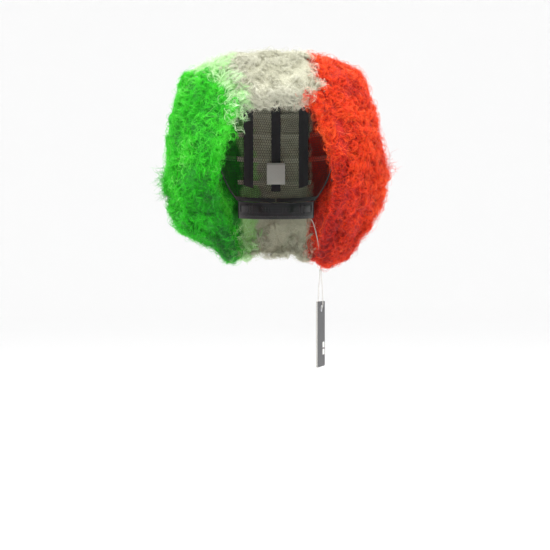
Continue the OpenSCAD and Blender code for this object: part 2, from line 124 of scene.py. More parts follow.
def ring_faces(rings, sides):
    """Quads between rings of vertices that follow each other."""
    return [
        (r * sides + k, r * sides + (k + 1) % sides, (r + 1) * sides + (k + 1) % sides, (r + 1) * sides + k)
        for r in range(rings - 1) for k in range(sides)
    ]


def smooth_noise(rng, scale, count=7):
    """A smooth random function of place, from about -1 to 1."""
    waves = rng.normal(size=(count, 3)) / scale
    phase = rng.uniform(0, 2 * math.pi, count)

    def noise(p):
        return np.sin(p @ waves.T + phase).sum(-1) / math.sqrt(count)

    return noise


# ---- camera and light

def add_camera():
    """Level view of the front, with room below for the stand that such a wig is shown on."""
    lens, sensor = 85.0, 36.0
    view_width = 687.5 * MM
    view_centre = (-1.25 * MM, -156 * MM)
    camera = bpy.data.objects.new("camera", bpy.data.cameras.new("camera"))
    camera.data.lens = lens
    camera.data.sensor_width = sensor
    camera.location = (view_centre[0], -view_width * lens / sensor, view_centre[1])
    camera.rotation_euler = (math.radians(90), 0, 0)
    bpy.context.scene.collection.objects.link(camera)
    bpy.context.scene.camera = camera


def add_light(name, place, target, size, power):
    """Square area light that faces its target."""
    light = bpy.data.lights.new(name, "AREA")
    light.size = size
    light.energy = power
    obj = bpy.data.objects.new(name, light)
    obj.location = place
    obj.rotation_euler = (Vector(target) - Vector(place)).to_track_quat("-Z", "Y").to_euler()
    bpy.context.scene.collection.objects.link(obj)


def backdrop_mesh():
    """A floor at the foot of the stand, which curves up into a wall all round."""
    floor_z, reach, bend, wall, turns = -444 * MM, 9.0, 3.0, 6.0, 96
    profile = [(0.001, 0), (reach - bend, 0)]
    for t in np.linspace(0.1, math.pi / 2, 14):
        profile.append((reach - bend + bend * math.sin(t), bend * (1 - math.cos(t))))
    profile.append((reach, wall))
    verts = [
        (r * math.cos(a), r * math.sin(a), floor_z + h)
        for r, h in profile for a in np.arange(turns) * 2 * math.pi / turns
    ]
    mesh = bpy.data.meshes.new("floor")
    mesh.from_pydata(verts, [], ring_faces(len(profile), turns))
    mesh.shade_smooth()
    return mesh


def add_studio():
    """Soft white light, and a pale floor and backdrop."""
    scene = bpy.context.scene
    scene.view_settings.view_transform = "Standard"
    world = bpy.data.worlds.new("studio")
    scene.world = world
    world.use_nodes = True
    background = world.node_tree.nodes["Background"]
    background.inputs["Color"].default_value = (1, 1, 1, 1)
    background.inputs["Strength"].default_value = 1.0
    add_light("key", (-0.5, -1.2, 1.1), (0, 0, 0.02), 0.9, 25)
    add_light("fill", (1.1, -1.0, 0.4), (0, 0, 0), 1.0, 9)
    add_light("top", (0.1, 0.0, 1.4), (0, 0, 0), 0.9, 14)
    add_light("rim", (0.2, 1.4, 0.6), (0, 0, 0), 0.9, 8)
    floor = new_object("floor", backdrop_mesh())
    mat = bpy.data.materials.new("floor")
    mat.use_nodes = True
    shader = mat.node_tree.nodes["Principled BSDF"]
    shader.inputs["Base Color"].default_value = (0.9, 0.9, 0.9, 1)
    shader.inputs["Roughness"].default_value = 0.9
    shader.inputs["Emission Color"].default_value = (1, 1, 1, 1)
    shader.inputs["Emission Strength"].default_value = 0.07
    floor.data.materials.append(mat)


# ---- colours

def srgb(r, g, b):
    """Linear colour from an sRGB one in 0 to 255."""
    return tuple(
        (c / 255 / 12.92) if c <= 10 else ((c / 255 + 0.055) / 1.055) ** 2.4 for c in (r, g, b)
    ) + (1.0,)


# Where the colours meet: x against z, in millimetres
GREEN_EDGE = ([40, 60, 72, 82, 92, 102], [-50, -56, -66, -80, -94, -106])
IVORY_EDGE = ([40, 60, 79, 100], [-31, -38, -49, -57])
ORANGE_EDGE = ([46, 52, 58, 67, 75, 87, 110], [32, 38, 50, 58, 54, 46, 43])
# At the back the orange's edge is straight: it changes over between these two values of y
ORANGE_BACK = 44
BACK_CHANGE = [-30, 20]
# Width of the blush fibre along the orange's edge
BLUSH_WIDTH = 3 * MM

# Shades of each family of fibre, from deep in the hair to its tips: shaded and lit copies of the family's
# colour, painted shade deep in the hair and painted light at the tips
SHADES = {
    "green": [(10, 98, 24), (23, 166, 14), (46, 204, 26), (76, 222, 50), (130, 236, 106)],
    "mint": [(142, 202, 116), (170, 222, 146), (192, 236, 168), (206, 242, 188), (222, 248, 210)],
    "ivory": [(174, 173, 150), (189, 188, 166), (200, 199, 178), (208, 207, 188), (220, 219, 202)],
    "blush": [(214, 140, 118), (236, 180, 158), (244, 200, 180), (248, 216, 202), (252, 232, 222)],
    "orange": [(140, 10, 14), (204, 34, 8), (238, 62, 8), (252, 92, 30), (255, 132, 82)],
}
FAMILIES = list(SHADES)
SHADE_COUNT = 5


class Graph:
    """A material's nodes, with short calls for the ones that are used again."""

    def __init__(self, name):
        self.mat = bpy.data.materials.new(name)
        self.mat.use_nodes = True
        self.shader = self.mat.node_tree.nodes["Principled BSDF"]
        coordinates = self.node("ShaderNodeTexCoord")
        self.place = coordinates.outputs["Object"]
        self.normal = coordinates.outputs["Normal"]
        split = self.node("ShaderNodeSeparateXYZ")
        self.link(self.place, split.inputs[0])
        self.x, self.y, self.z = split.outputs

    def node(self, kind):
        return self.mat.node_tree.nodes.new(kind)

    def link(self, value, socket):
        if isinstance(value, (int, float, tuple)):
            socket.default_value = value
        else:
            self.mat.node_tree.links.new(value, socket)

    def math(self, kind, *values):
        node = self.node("ShaderNodeMath")
        node.operation = kind
        for value, socket in zip(values, node.inputs):
            self.link(value, socket)
        return node.outputs[0]

    def noise(self, scale, detail=2.0, distortion=0.0):
        node = self.node("ShaderNodeTexNoise")
        self.link(self.place, node.inputs["Vector"])
        self.link(float(scale), node.inputs["Scale"])
        self.link(float(detail), node.inputs["Detail"])
        self.link(float(distortion), node.inputs["Distortion"])
        return node.outputs["Fac"]

    def ridges(self, along, pitch):
        """From 0 to 1 and back, once every pitch along a distance."""
        wave = self.math("SINE", self.math("MULTIPLY", along, 2 * math.pi / pitch))
        return self.math("MULTIPLY_ADD", wave, 0.5, 0.5)

    def around(self, radius, centre_y=0.0):
        """Distance round a vertical axis."""
        angle = self.math("ARCTAN2", self.x, self.math("SUBTRACT", self.y, centre_y))
        return self.math("MULTIPLY", angle, radius)

    def blend(self, a, b, share):
        """Mix of two numbers."""
        return self.math("ADD", self.math("MULTIPLY", a, 1 - share), self.math("MULTIPLY", b, share))

    def spread(self, value, low, high, to_low=0.0, to_high=1.0):
        """A range of numbers carried over to another range."""
        node = self.node("ShaderNodeMapRange")
        for name, number in (("From Min", low), ("From Max", high), ("To Min", to_low), ("To Max", to_high)):
            node.inputs[name].default_value = number
        self.link(value, node.inputs["Value"])
        return node.outputs["Result"]

    def ramp(self, factor, dark, light, low=0.3, high=0.7):
        """Colour that goes from dark to light between two values of a factor."""
        node = self.node("ShaderNodeValToRGB")
        ends = node.color_ramp.elements
        ends[0].position, ends[1].position = low, high
        ends[0].color, ends[1].color = dark, light
        self.link(factor, node.inputs["Fac"])
        return node.outputs["Color"]

    def mix(self, factor, a, b):
        """Mix of two colours, which are the Mix node's inputs 6 and 7 and its output 2."""
        node = self.node("ShaderNodeMix")
        node.data_type = "RGBA"
        for value, socket in ((factor, node.inputs["Factor"]), (a, node.inputs[6]), (b, node.inputs[7])):
            self.link(value, socket)
        return node.outputs[2]

    def finish(self, colour, roughness, height, distance, **plain):
        """The material, with fine relief from height, distance deep, and plain values for other inputs."""
        self.link(colour, self.shader.inputs["Base Color"])
        self.link(roughness, self.shader.inputs["Roughness"])
        for name, value in plain.items():
            self.shader.inputs[name.replace("_", " ")].default_value = value
        bump = self.node("ShaderNodeBump")
        bump.inputs["Distance"].default_value = distance
        self.link(height, bump.inputs["Height"])
        self.link(bump.outputs["Normal"], self.shader.inputs["Normal"])
        return self.mat


def fibre_material(family, shade):
    """One shade of synthetic fibre, a step between painted shade and painted light: a plain colour, with a
    sparkle that varies along the fibres.
    """
    name = f"{family}_fibre_{shade + 1}"
    if name in bpy.data.materials:
        return bpy.data.materials[name]
    mat = bpy.data.materials.new(name)
    mat.use_nodes = True
    nodes, links = mat.node_tree.nodes, mat.node_tree.links
    shader = nodes["Principled BSDF"]
    shader.inputs["Base Color"].default_value = srgb(*SHADES[family][shade])
    shader.inputs["Roughness"].default_value = 0.48
    shader.inputs["Sheen Weight"].default_value = 0.04
    noise = nodes.new("ShaderNodeTexNoise")
    noise.inputs["Scale"].default_value = 900
    ramp = nodes.new("ShaderNodeMapRange")
    ramp.inputs["To Min"].default_value = 0.1
    ramp.inputs["To Max"].default_value = 0.4
    coordinates = nodes.new("ShaderNodeTexCoord")
    links.new(coordinates.outputs["Object"], noise.inputs["Vector"])
    links.new(noise.outputs["Fac"], ramp.inputs["Value"])
    links.new(ramp.outputs["Result"], shader.inputs["Specular IOR Level"])
    return mat


# ---- hair: the surface it grows from

def near_nape(p):
    """Which points are close round the nape band, where no curls grow."""
    ring = np.hypot(p[..., 0], p[..., 1] - NAPE_Y)
    return (ring < NAPE_SPACE_RADIUS) & (p[..., 2] > NAPE_SPACE_LOW) & (p[..., 2] < NAPE_SPACE_HIGH)


def hair_nodes():
    """Names of the CAD hair sections."""
    return [n for n in NODES if n.endswith("_hair") or n in ("white_fringe", "white_crown")]


def hair_surface():
    """The whole head of hair as one even, smooth mesh, joined from its CAD sections."""
    bm = bmesh.new()
    for n in sorted(hair_nodes()):
        bm.from_mesh(NODES[n].data)
    mesh = bpy.data.meshes.new("hair_surface")
    bm.to_mesh(mesh)
    bm.free()
    obj = new_object("hair_surface", mesh)
    remesh = obj.modifiers.new("remesh", "REMESH")
    remesh.mode = "VOXEL"
    remesh.voxel_size = 4.3 * MM
    smooth = obj.modifiers.new("smooth", "SMOOTH")
    smooth.factor = 0.5
    smooth.iterations = 11
    evaluated = obj.evaluated_get(bpy.context.evaluated_depsgraph_get())
    result = bpy.data.meshes.new_from_object(evaluated)
    bpy.data.objects.remove(obj)
    return result


def mesh_arrays(mesh):
    """Vertices, normals and triangles of a mesh as arrays."""
    mesh.calc_loop_triangles()
    co = np.empty(len(mesh.vertices) * 3, np.float32)
    mesh.vertices.foreach_get("co", co)
    no = np.empty(len(mesh.vertices) * 3, np.float32)
    mesh.vertices.foreach_get("normal", no)
    tri = np.empty(len(mesh.loop_triangles) * 3, np.int32)
    mesh.loop_triangles.foreach_get("vertices", tri)
    return co.reshape(-1, 3).astype(float), no.reshape(-1, 3).astype(float), tri.reshape(-1, 3)


def cap_edge(azimuth):
    """Elevation of the cap's edge in degrees, the same on both sides."""
    return np.interp(np.abs(azimuth), EDGE_AZIMUTH, EDGE_ELEVATION)


def under_cap(p):
    """How surely points lie against the cap, close to it and above its edge. From 0 to 1."""
    q = p / HEAD
    r = np.linalg.norm(q, axis=-1)
    azimuth = np.degrees(np.arctan2(np.abs(q[..., 0]), -q[..., 1]))
    elevation = np.degrees(np.arcsin(np.clip(q[..., 2] / np.maximum(r, 1e-9), -1, 1)))
    # it fades in over 4 degrees from the edge, and out at 1.07 to 1.1 times the head's size
    above = np.clip((elevation - cap_edge(azimuth)) / 4, 0, 1)
    near = np.clip((1.10 - r) / 0.03, 0, 1)
    return above * near


def section_of(p):
    """Index of the CAD hair section that each point is in, and the list of their names."""
    names = sorted(hair_nodes())
    boxes = np.array([[list(c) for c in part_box(n)] for n in names])
    gap = np.maximum(boxes[:, 0] - p[:, None], p[:, None] - boxes[:, 1]).clip(0)
    return np.linalg.norm(gap, axis=-1).argmin(1), names


# ---- hair: strands

def grow_axes(roots, normals, flow, depth, length, tree, steps=6):
    """Control points and surface normals of each strand's axis. It comes up from its root, and runs
    along at its depth under the surface, the way of the flow."""
    root_depth = 7 * MM
    points = np.zeros((len(roots), steps, 3))
    ups = np.zeros_like(points)
    for i, (root, up) in enumerate(zip(roots, normals)):
        points[i, 0] = root - up * (depth[i] + root_depth)
        ups[i, 0] = up
        here, ahead = root, flow[i]
        for k in range(1, steps):
            target = here + ahead * length[i] / (steps - 1)
            spot, normal, _, _ = tree.find_nearest(Vector(target))
            normal = np.array(normal)
            spot = np.array(spot)
            points[i, k] = spot - normal * depth[i]
            ups[i, k] = normal
            ahead = ahead - normal * (ahead @ normal)
            ahead = ahead / max(np.linalg.norm(ahead), 1e-9)
            here = spot
    return points, ups


def along_curve(points, t):
    """Catmull-Rom curve through each row's points, at parameters t from 0 to 1: shape (rows, t, 3)."""
    padded = np.concatenate([2 * points[:, :1] - points[:, 1:2], points,
                             2 * points[:, -1:] - points[:, -2:-1]], axis=1)
    spans = points.shape[1] - 1
    x = np.clip(t, 0, 1) * spans
    i = np.minimum(x.astype(int), spans - 1)
    f = (x - i)[..., None]
    rows = np.arange(len(points))[:, None]
    a, b, c, d = (padded[rows, i + k] for k in range(4))
    return 0.5 * (2 * b + (c - a) * f + (2 * a - 5 * b + 4 * c - d) * f ** 2
                  + (3 * b - 3 * c + d - a) * f ** 3)


def random_wave(rng, t, low, high):
    """A sine of t for each row, of low to high radians from end to end and any phase."""
    shape = (len(t),) + (1,) * (t.ndim - 1)
    return np.sin(rng.uniform(low, high, shape) * t + rng.uniform(0, 6.3, shape))


def curl(rng, axis, ups, radius, turns, points, wobble, flat, dive=0.0):
    """Strands wound round their axes, or where flat is 1, looping in the plane of the hair's surface.
    Their tips sink by dive. Returns their points and how far each stands out from the axis."""
    count = len(axis)
    t = np.linspace(0, 1, points)[None] * np.ones((count, 1))
    centre = along_curve(axis, t)
    up = unit(along_curve(ups, t))
    ahead = unit(np.gradient(centre, axis=1))
    up = unit(up - ahead * (up * ahead).sum(-1, keepdims=True))
    side = np.cross(ahead, up)
    # the winding opens near the root, closes a little near the tip, and is uneven between
    grow = np.clip(t / 0.18, 0.15, 1) * (1 - 0.35 * np.clip((t - 0.8) / 0.2, 0, 1))
    wave = sum(random_wave(rng, t, 3, 9) for _ in range(2)) / 2
    start = rng.uniform(-0.55, 0.55, (count, 1))
    angle = turns[:, None] * 2 * math.pi * t + start + 0.5 * wave
    reach = radius[:, None] * grow * (1 + 0.18 * wave)
    lying = flat[:, None]
    sink = dive * np.clip((t - 0.84) / 0.16, 0, 1) ** 1.5
    out = reach * np.cos(angle) * (1 - lying) - sink
    forth = reach * np.cos(angle) * lying
    path = centre + out[..., None] * up + forth[..., None] * ahead
    path = path + (reach * np.sin(angle))[..., None] * side
    for _ in range(2):
        push = rng.normal(size=(count, 1, 3)) * wobble
        path = path + push * random_wave(rng, t[..., None], 8, 22)
    return path, out


def tube_rings(paths, thickness, tapered):
    """Vertices of tubes along paths: shape (tubes, points, sides, 3)."""
    points = paths.shape[1]
    ahead = unit(np.gradient(paths, axis=1))
    normal = np.zeros_like(paths)
    first = np.cross(ahead[:, 0], np.where(np.abs(ahead[:, 0, 2:]) < 0.8, [0, 0, 1], [1, 0, 0]))
    normal[:, 0] = unit(first)
    for k in range(1, points):
        step = normal[:, k - 1] - ahead[:, k] * (normal[:, k - 1] * ahead[:, k]).sum(-1, keepdims=True)
        normal[:, k] = unit(step)
    other = np.cross(ahead, normal)
    taper = np.interp(np.linspace(0, 1, points), [0, 0.08, 0.75, 1], [0.7, 1, 0.9, 0.25])
    if not tapered:
        taper = np.ones(points)
    size = thickness[:, None] / 2 * taper
    return np.stack([
        paths + size[..., None] * (math.cos(a) * normal + math.sin(a) * other)
        for a in (2 * math.pi * s / TUBE_SIDES for s in range(TUBE_SIDES))
    ], axis=2)


def tube_faces(count, points):
    """Side quads and end triangles of tubes, as two arrays of vertex numbers."""
    sides = TUBE_SIDES
    base = (np.arange(count) * points * sides)[:, None, None]
    row = (np.arange(points - 1) * sides)[None, :, None]
    s = np.arange(sides)[None, None, :]
    n = (s + 1) % sides
    quads = np.stack([base + row + s, base + row + n, base + row + sides + n, base + row + sides + s], -1)
    start = np.arange(count)[:, None] * points * sides
    ends = np.concatenate([start + [[2, 1, 0]], start + (points - 1) * sides + [[0, 1, 2]]])
    return quads.reshape(-1, 4), ends


def tube_mesh(name, paths, thickness, shade, materials, tapered=True):
    """One mesh of closed tubes. shade is the material index of each span of each tube."""
    rings = tube_rings(paths, thickness, tapered)
    quads, ends = tube_faces(*paths.shape[:2])
    mesh = bpy.data.meshes.new(name)
    mesh.vertices.add(rings.size // 3)
    mesh.vertices.foreach_set("co", rings.reshape(-1).astype(np.float32))
    loops = np.concatenate([quads.reshape(-1), ends.reshape(-1)]).astype(np.int32)
    starts = np.concatenate([np.arange(len(quads)) * 4, len(quads) * 4 + np.arange(len(ends)) * 3])
    mesh.loops.add(len(loops))
    mesh.loops.foreach_set("vertex_index", loops)
    mesh.polygons.add(len(starts))
    mesh.polygons.foreach_set("loop_start", starts.astype(np.int32))
    for m in materials:
        mesh.materials.append(m)
    index = np.concatenate([np.repeat(shade.reshape(-1), TUBE_SIDES), shade[:, 0], shade[:, -1]])
    mesh.polygons.foreach_set("material_index", index.astype(np.int32))
    mesh.polygons.foreach_set("use_smooth", np.ones(len(starts), bool))
    mesh.update(calc_edges=True)
    return new_object(name, mesh)


def family_of(rng, p):
    """Family of fibre at each place: the three colours, and the mixed ones where they meet."""
    z = p[:, 2] / MM
    green_edge, ivory_edge, orange_edge = (
        np.interp(z, edge[0], edge[1]) * MM for edge in (GREEN_EDGE, IVORY_EDGE, ORANGE_EDGE)
    )
    family = np.full(len(p), FAMILIES.index("ivory"))
    family[p[:, 0] + rng.normal(0, 7 * MM, len(p)) < ivory_edge] = FAMILIES.index("mint")
    family[p[:, 0] + rng.normal(0, 4 * MM, len(p)) < green_edge] = FAMILIES.index("green")
    behind = np.interp(p[:, 1] / MM, BACK_CHANGE, [0, 1])
    orange_edge = orange_edge + (ORANGE_BACK * MM - orange_edge) * behind
    sharp = p[:, 0] + rng.normal(0, 2 * MM, len(p))
    family[sharp > orange_edge - BLUSH_WIDTH] = FAMILIES.index("blush")
    family[sharp > orange_edge] = FAMILIES.index("orange")
    return family


def painted_shade_by_place(p):
    """Painted shade: how much darker the hair is painted low down, where less light reaches, and along the
    inner edges of the face opening.
    """
    x, y, z = p.T / MM
    low = np.interp(z, [-130, -90, -40], [-1.0, -0.8, 0])
    inner = np.interp(np.abs(x) - np.interp(-z, *FACE_EDGE), [0, 26], [-1.5, 0])
    return low + inner * np.interp(z, [-40, 10], [1, 0]) * np.interp(y, [-60, -20], [1, 0])


def shades_of(rng, height, lift, family, roots):
    """Material index of each span: deeper spans are painted darker, as painted shade inside the hair, and
    some strands are lighter than others.
    """
    # painted shade: spans deep under the hair's surface take darker shades, and spans that stand out take
    # lighter ones
    depth_painted_shade = np.interp(height / MM, [-9, -4, 0, 4], [0.2, 1.3, 2.3, 3.2])
    # each strand's own random tone, plus its lift and the painted shade of its place
    own = rng.normal(0, 0.42, (len(height), 1)) + (lift + painted_shade_by_place(roots))[:, None]
    shade = np.clip(np.round(depth_painted_shade + own), 0, SHADE_COUNT - 1).astype(int)
    return family[:, None] * SHADE_COUNT + shade


class Scalp:
    """The lumpy surface that the strands grow from, and where and which way they grow on it."""

    def __init__(self, rng, mesh):
        co, no, _ = mesh_arrays(mesh)
        waves = smooth_noise(rng, 9 * MM, 16)
        co = co + no * (2.2 * MM * waves(co) * (1 - under_cap(co)))[:, None]
        mesh.vertices.foreach_set("co", co.reshape(-1).astype(np.float32))
        mesh.update()
        self.co, self.no, self.tri = mesh_arrays(mesh)
        self.tree = BVHTree.FromPolygons([Vector(c) for c in self.co], self.tri.tolist())
        a, b, c = self.co[self.tri].transpose(1, 0, 2)
        centre = self.co[self.tri].mean(1)
        double_area = np.linalg.norm(np.cross(b - a, c - a), axis=1)
        weight = double_area * (1 - under_cap(centre)) * ~near_nape(centre)
        self.weight = weight / weight.sum()
        self.lumps = smooth_noise(rng, 16 * MM)
        self.swirl = [smooth_noise(rng, 22 * MM) for _ in range(3)]

    def sample(self, rng, count):
        """Random places on the surface, and its normals there."""
        pick = rng.choice(len(self.tri), count, p=self.weight)
        a, b = rng.uniform(size=(2, count, 1))
        flip = a + b > 1
        a, b = np.where(flip, 1 - a, a), np.where(flip, 1 - b, b)

        def between(v):
            return v[self.tri[pick, 0]] * (1 - a - b) + v[self.tri[pick, 1]] * a + v[self.tri[pick, 2]] * b

        return between(self.co), unit(between(self.no))

    def flow(self, rng, roots, normals, spread, drop):
        """The way that the hair lies: swirls shared with its neighbours, its own turn, and a drop."""
        flow = np.stack([f(roots) for f in self.swirl], -1) * 0.9
        flow = flow + rng.normal(0, spread, roots.shape) + np.array([0, 0, -drop])
        flow = flow - normals * (flow * normals).sum(-1, keepdims=True)
        return unit(flow)


def either_way(rng, count):
    """Winding direction of each curl."""
    return rng.choice([-1, 1], count)


# Each build_ function makes one kind of strand. It returns the strands' points, their thickness,
# the material index of each span, and their roots.

def build_clumps(rng, scalp):
    """Clumps of strands that curl together, which cover the whole head of hair."""
    roots, normals = scalp.sample(rng, CLUMPS)
    radius = rng.triangular(2.4, 3.6, 7.2, CLUMPS) * MM
    flat = np.where(rng.uniform(size=CLUMPS) < 0.4, 0.75, 0.1)
    depth = radius * (0.8 - 0.5 * flat) + INSET
    length = rng.uniform(18, 38, CLUMPS) * MM
    flow = scalp.flow(rng, roots, normals, spread=0.7, drop=0.35)
    axis, ups = grow_axes(roots, normals, flow, depth, length, scalp.tree)
    turns = length / (rng.uniform(7, 11, CLUMPS) * MM) * either_way(rng, CLUMPS)
    # one draw for each clump is passed over, so that the later draws stay as they are
    rng.uniform(size=CLUMPS)
    each = np.repeat(np.arange(CLUMPS), STRANDS_IN_CLUMP)
    total = len(each)
    shift = rng.normal(0, 0.9 * MM, (total, 1, 3))
    path, out = curl(
        rng, axis[each] + shift, ups[each], radius[each] * rng.uniform(0.8, 1.2, total),
        turns[each] * rng.uniform(0.93, 1.07, total), STRAND_POINTS, wobble=0.45 * MM,
        flat=np.clip(flat + rng.normal(0, 0.15, CLUMPS), 0, 0.85)[each], dive=5 * MM
    )
    height = out[:, :-1] - (depth[each] - INSET)[:, None]
    family = family_of(rng, axis[:, 3])[each]
    roots = roots[each]
    shade = shades_of(rng, height, 0.65 * scalp.lumps(roots), family, roots)
    return path, rng.uniform(0.28, 0.48, total) * MM, shade, roots


def build_flyaways(rng, scalp):
    """Fine loose hairs that soften the outline."""
    roots, normals = scalp.sample(rng, FLYAWAYS)
    radius = rng.uniform(3, 7, FLYAWAYS) * MM
    depth = radius * 0.2 + INSET - 2 * MM
    length = rng.uniform(12, 30, FLYAWAYS) * MM
    flow = scalp.flow(rng, roots, normals, spread=1.2, drop=0.1)
    axis, ups = grow_axes(roots, normals, flow, depth, length, scalp.tree)
    path, _ = curl(
        rng, axis, ups, radius, rng.uniform(0.7, 2.2, FLYAWAYS) * either_way(rng, FLYAWAYS),
        FLYAWAY_POINTS, wobble=0.8 * MM, flat=rng.uniform(0, 0.8, FLYAWAYS)
    )
    family = family_of(rng, axis[:, 3])
    # the flyaways take the painted light of fibre 2 mm above the hair's surface
    height = np.full((FLYAWAYS, FLYAWAY_POINTS - 1), 2 * MM)
    shade = shades_of(rng, height, 0.5 * scalp.lumps(roots), family, roots)
    return path, rng.uniform(0.22, 0.36, FLYAWAYS) * MM, shade, roots


def ringlet_axes(rng, scalp, steps=5):
    """Control points of the ringlets' axes: over the edge of the face opening, in front of the hair."""
    sides = RINGLETS // 2
    z = np.concatenate([rng.uniform(FACE_LOW, FACE_HIGH, sides), np.full(RINGLETS - sides, FRINGE_LEVEL)])
    side = rng.choice([-1, 1], RINGLETS)
    edge = np.interp(-z, *FACE_EDGE)
    x = np.where(z == FRINGE_LEVEL, rng.uniform(-46, 40, RINGLETS), side * edge)
    # they hang lowest at the opening's upper corner on the wearer's right
    corner = np.exp(-((x + 50) ** 2 + (z - 28) ** 2) / 26 ** 2)
    inwards = np.stack([-np.sign(x) * np.clip(np.abs(x) / 50, 0, 1) ** 2, 0 * x, 0 * x - 0.7], -1)
    inwards = unit(inwards + rng.normal(0, 0.25, inwards.shape) * [1, 0.3, 1])
    hang = (rng.uniform(1, 7, RINGLETS) + 9 * corner) * MM
    ahead_of_all, usual_front = -500 * MM, -100 * MM
    axis = np.zeros((RINGLETS, steps, 3))
    for i in range(RINGLETS):
        over = np.array([x[i], 0, z[i]]) * MM
        start = over - inwards[i] * rng.uniform(10, 16) * MM
        hit = scalp.tree.ray_cast(Vector((start[0], ahead_of_all, start[2])), Vector((0, 1, 0)))[0]
        front = hit[1] if hit else usual_front
        reach = np.linalg.norm(start - over) + hang[i]
        for k in range(steps):
            t = k / (steps - 1)
            axis[i, k] = start + inwards[i] * reach * t
            axis[i, k, 1] = front + INSET + (2 + 9 * t * t) * MM
            axis[i, k, 2] -= 3 * MM * t * t
    return axis


def build_ringlets(rng, scalp):
    """Loose ringlets that hang over the edge of the face opening."""
    axis = ringlet_axes(rng, scalp)
    each = np.repeat(np.arange(RINGLETS), STRANDS_IN_RINGLET)
    total = len(each)
    ups = np.zeros((total,) + axis.shape[1:])
    ups[..., 1] = -1
    shift = rng.normal(0, 0.8 * MM, (total, 1, 3))
    turns = rng.uniform(1.6, 3.2, RINGLETS) * either_way(rng, RINGLETS)
    path, out = curl(
        rng, axis[each] + shift, ups, rng.uniform(2.2, 4.6, RINGLETS)[each] * MM,
        turns[each] * rng.uniform(0.93, 1.07, total), STRAND_POINTS, wobble=0.4 * MM,
        flat=rng.uniform(0.3, 0.9, RINGLETS)[each]
    )
    roots = axis[each, 0]
    family = family_of(rng, axis[:, 2])[each]
    # the ringlets' spans take painted light and shade by how far they stand out, as if 1 mm higher
    shade = shades_of(rng, out[:, :-1] + 1 * MM, np.zeros(total), family, roots)
    return path, rng.uniform(0.34, 0.5, total) * MM, shade, roots


def build_tufts(rng):
    """Wispy strands that stick out of the sides."""
    count = TUFT_STRANDS * len(TUFTS)
    place, way = (np.repeat(np.array(v, float), TUFT_STRANDS, axis=0) for v in zip(*TUFTS))
    roots = (place + rng.normal(0, 6, (count, 3)) * [0.4, 1, 0.8] - 8 * way) * MM
    way = unit(way + rng.normal(0, 0.28, (count, 3)))
    bend = rng.normal(0, 0.5, (count, 1, 3))
    t = np.linspace(0, 1, 5)[None, :, None]
    length = rng.uniform(11, 21, (count, 1, 1)) * MM
    axis = roots[:, None] + length * (t * way[:, None] + 0.5 * t ** 2 * bend)
    side = unit(np.cross(way, [0.2, 0.9, 0.3]))
    ups = np.repeat(side[:, None], t.size, axis=1)
    path, _ = curl(
        rng, axis, ups, rng.uniform(2, 4.2, count) * MM, rng.uniform(1.2, 2.8, count),
        FLYAWAY_POINTS, wobble=0.7 * MM, flat=rng.uniform(0, 0.6, count)
    )
    # the tufts take the painted shade of fibre 3.5 mm deep in the hair
    height = np.full((count, FLYAWAY_POINTS - 1), -3.5 * MM)
    family = family_of(rng, roots)
    shade = shades_of(rng, height, np.zeros(count), family, roots)
    return path, rng.uniform(0.26, 0.4, count) * MM, shade, roots


def add_strand_pieces(kind, path, thickness, shade, roots):
    """Splits one kind of strand by CAD section into pieces small enough to export whole."""
    section, names = section_of(roots)
    end_triangles = 2
    per_strand = (path.shape[1] - 1) * 2 * TUBE_SIDES + end_triangles
    most = PIECE_TRIANGLES // per_strand
    for s, node in enumerate(names):
        mine = np.flatnonzero(section == s)
        parts = math.ceil(len(mine) / most)
        for k in range(parts):
            pick = mine[k::parts]
            used = np.unique(shade[pick])
            lookup = np.zeros(len(FAMILIES) * SHADE_COUNT, int)
            lookup[used] = np.arange(len(used))
            materials = [fibre_material(FAMILIES[u // SHADE_COUNT], u % SHADE_COUNT) for u in used]
            name = f"{node.replace('_hair', '')}_{kind}_{k + 1}"
            obj = tube_mesh(name, path[pick], thickness[pick], lookup[shade[pick]], materials)
            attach(obj, "cap")
            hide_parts(node)


def add_hair():
    """All the hair: four kinds of strand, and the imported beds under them."""
    rng = np.random.default_rng(SEED)
    mesh = hair_surface()
    scalp = Scalp(rng, mesh)
    strands = {
        "curls": build_clumps(rng, scalp),
        "wisps": build_flyaways(rng, scalp),
        "ringlets": build_ringlets(rng, scalp),
        "tufts": build_tufts(rng),
    }
    for kind, made in strands.items():
        add_strand_pieces(kind, *made)
    add_hair_beds(rng, mesh, scalp)


# ---- hair: the dense part under the curls

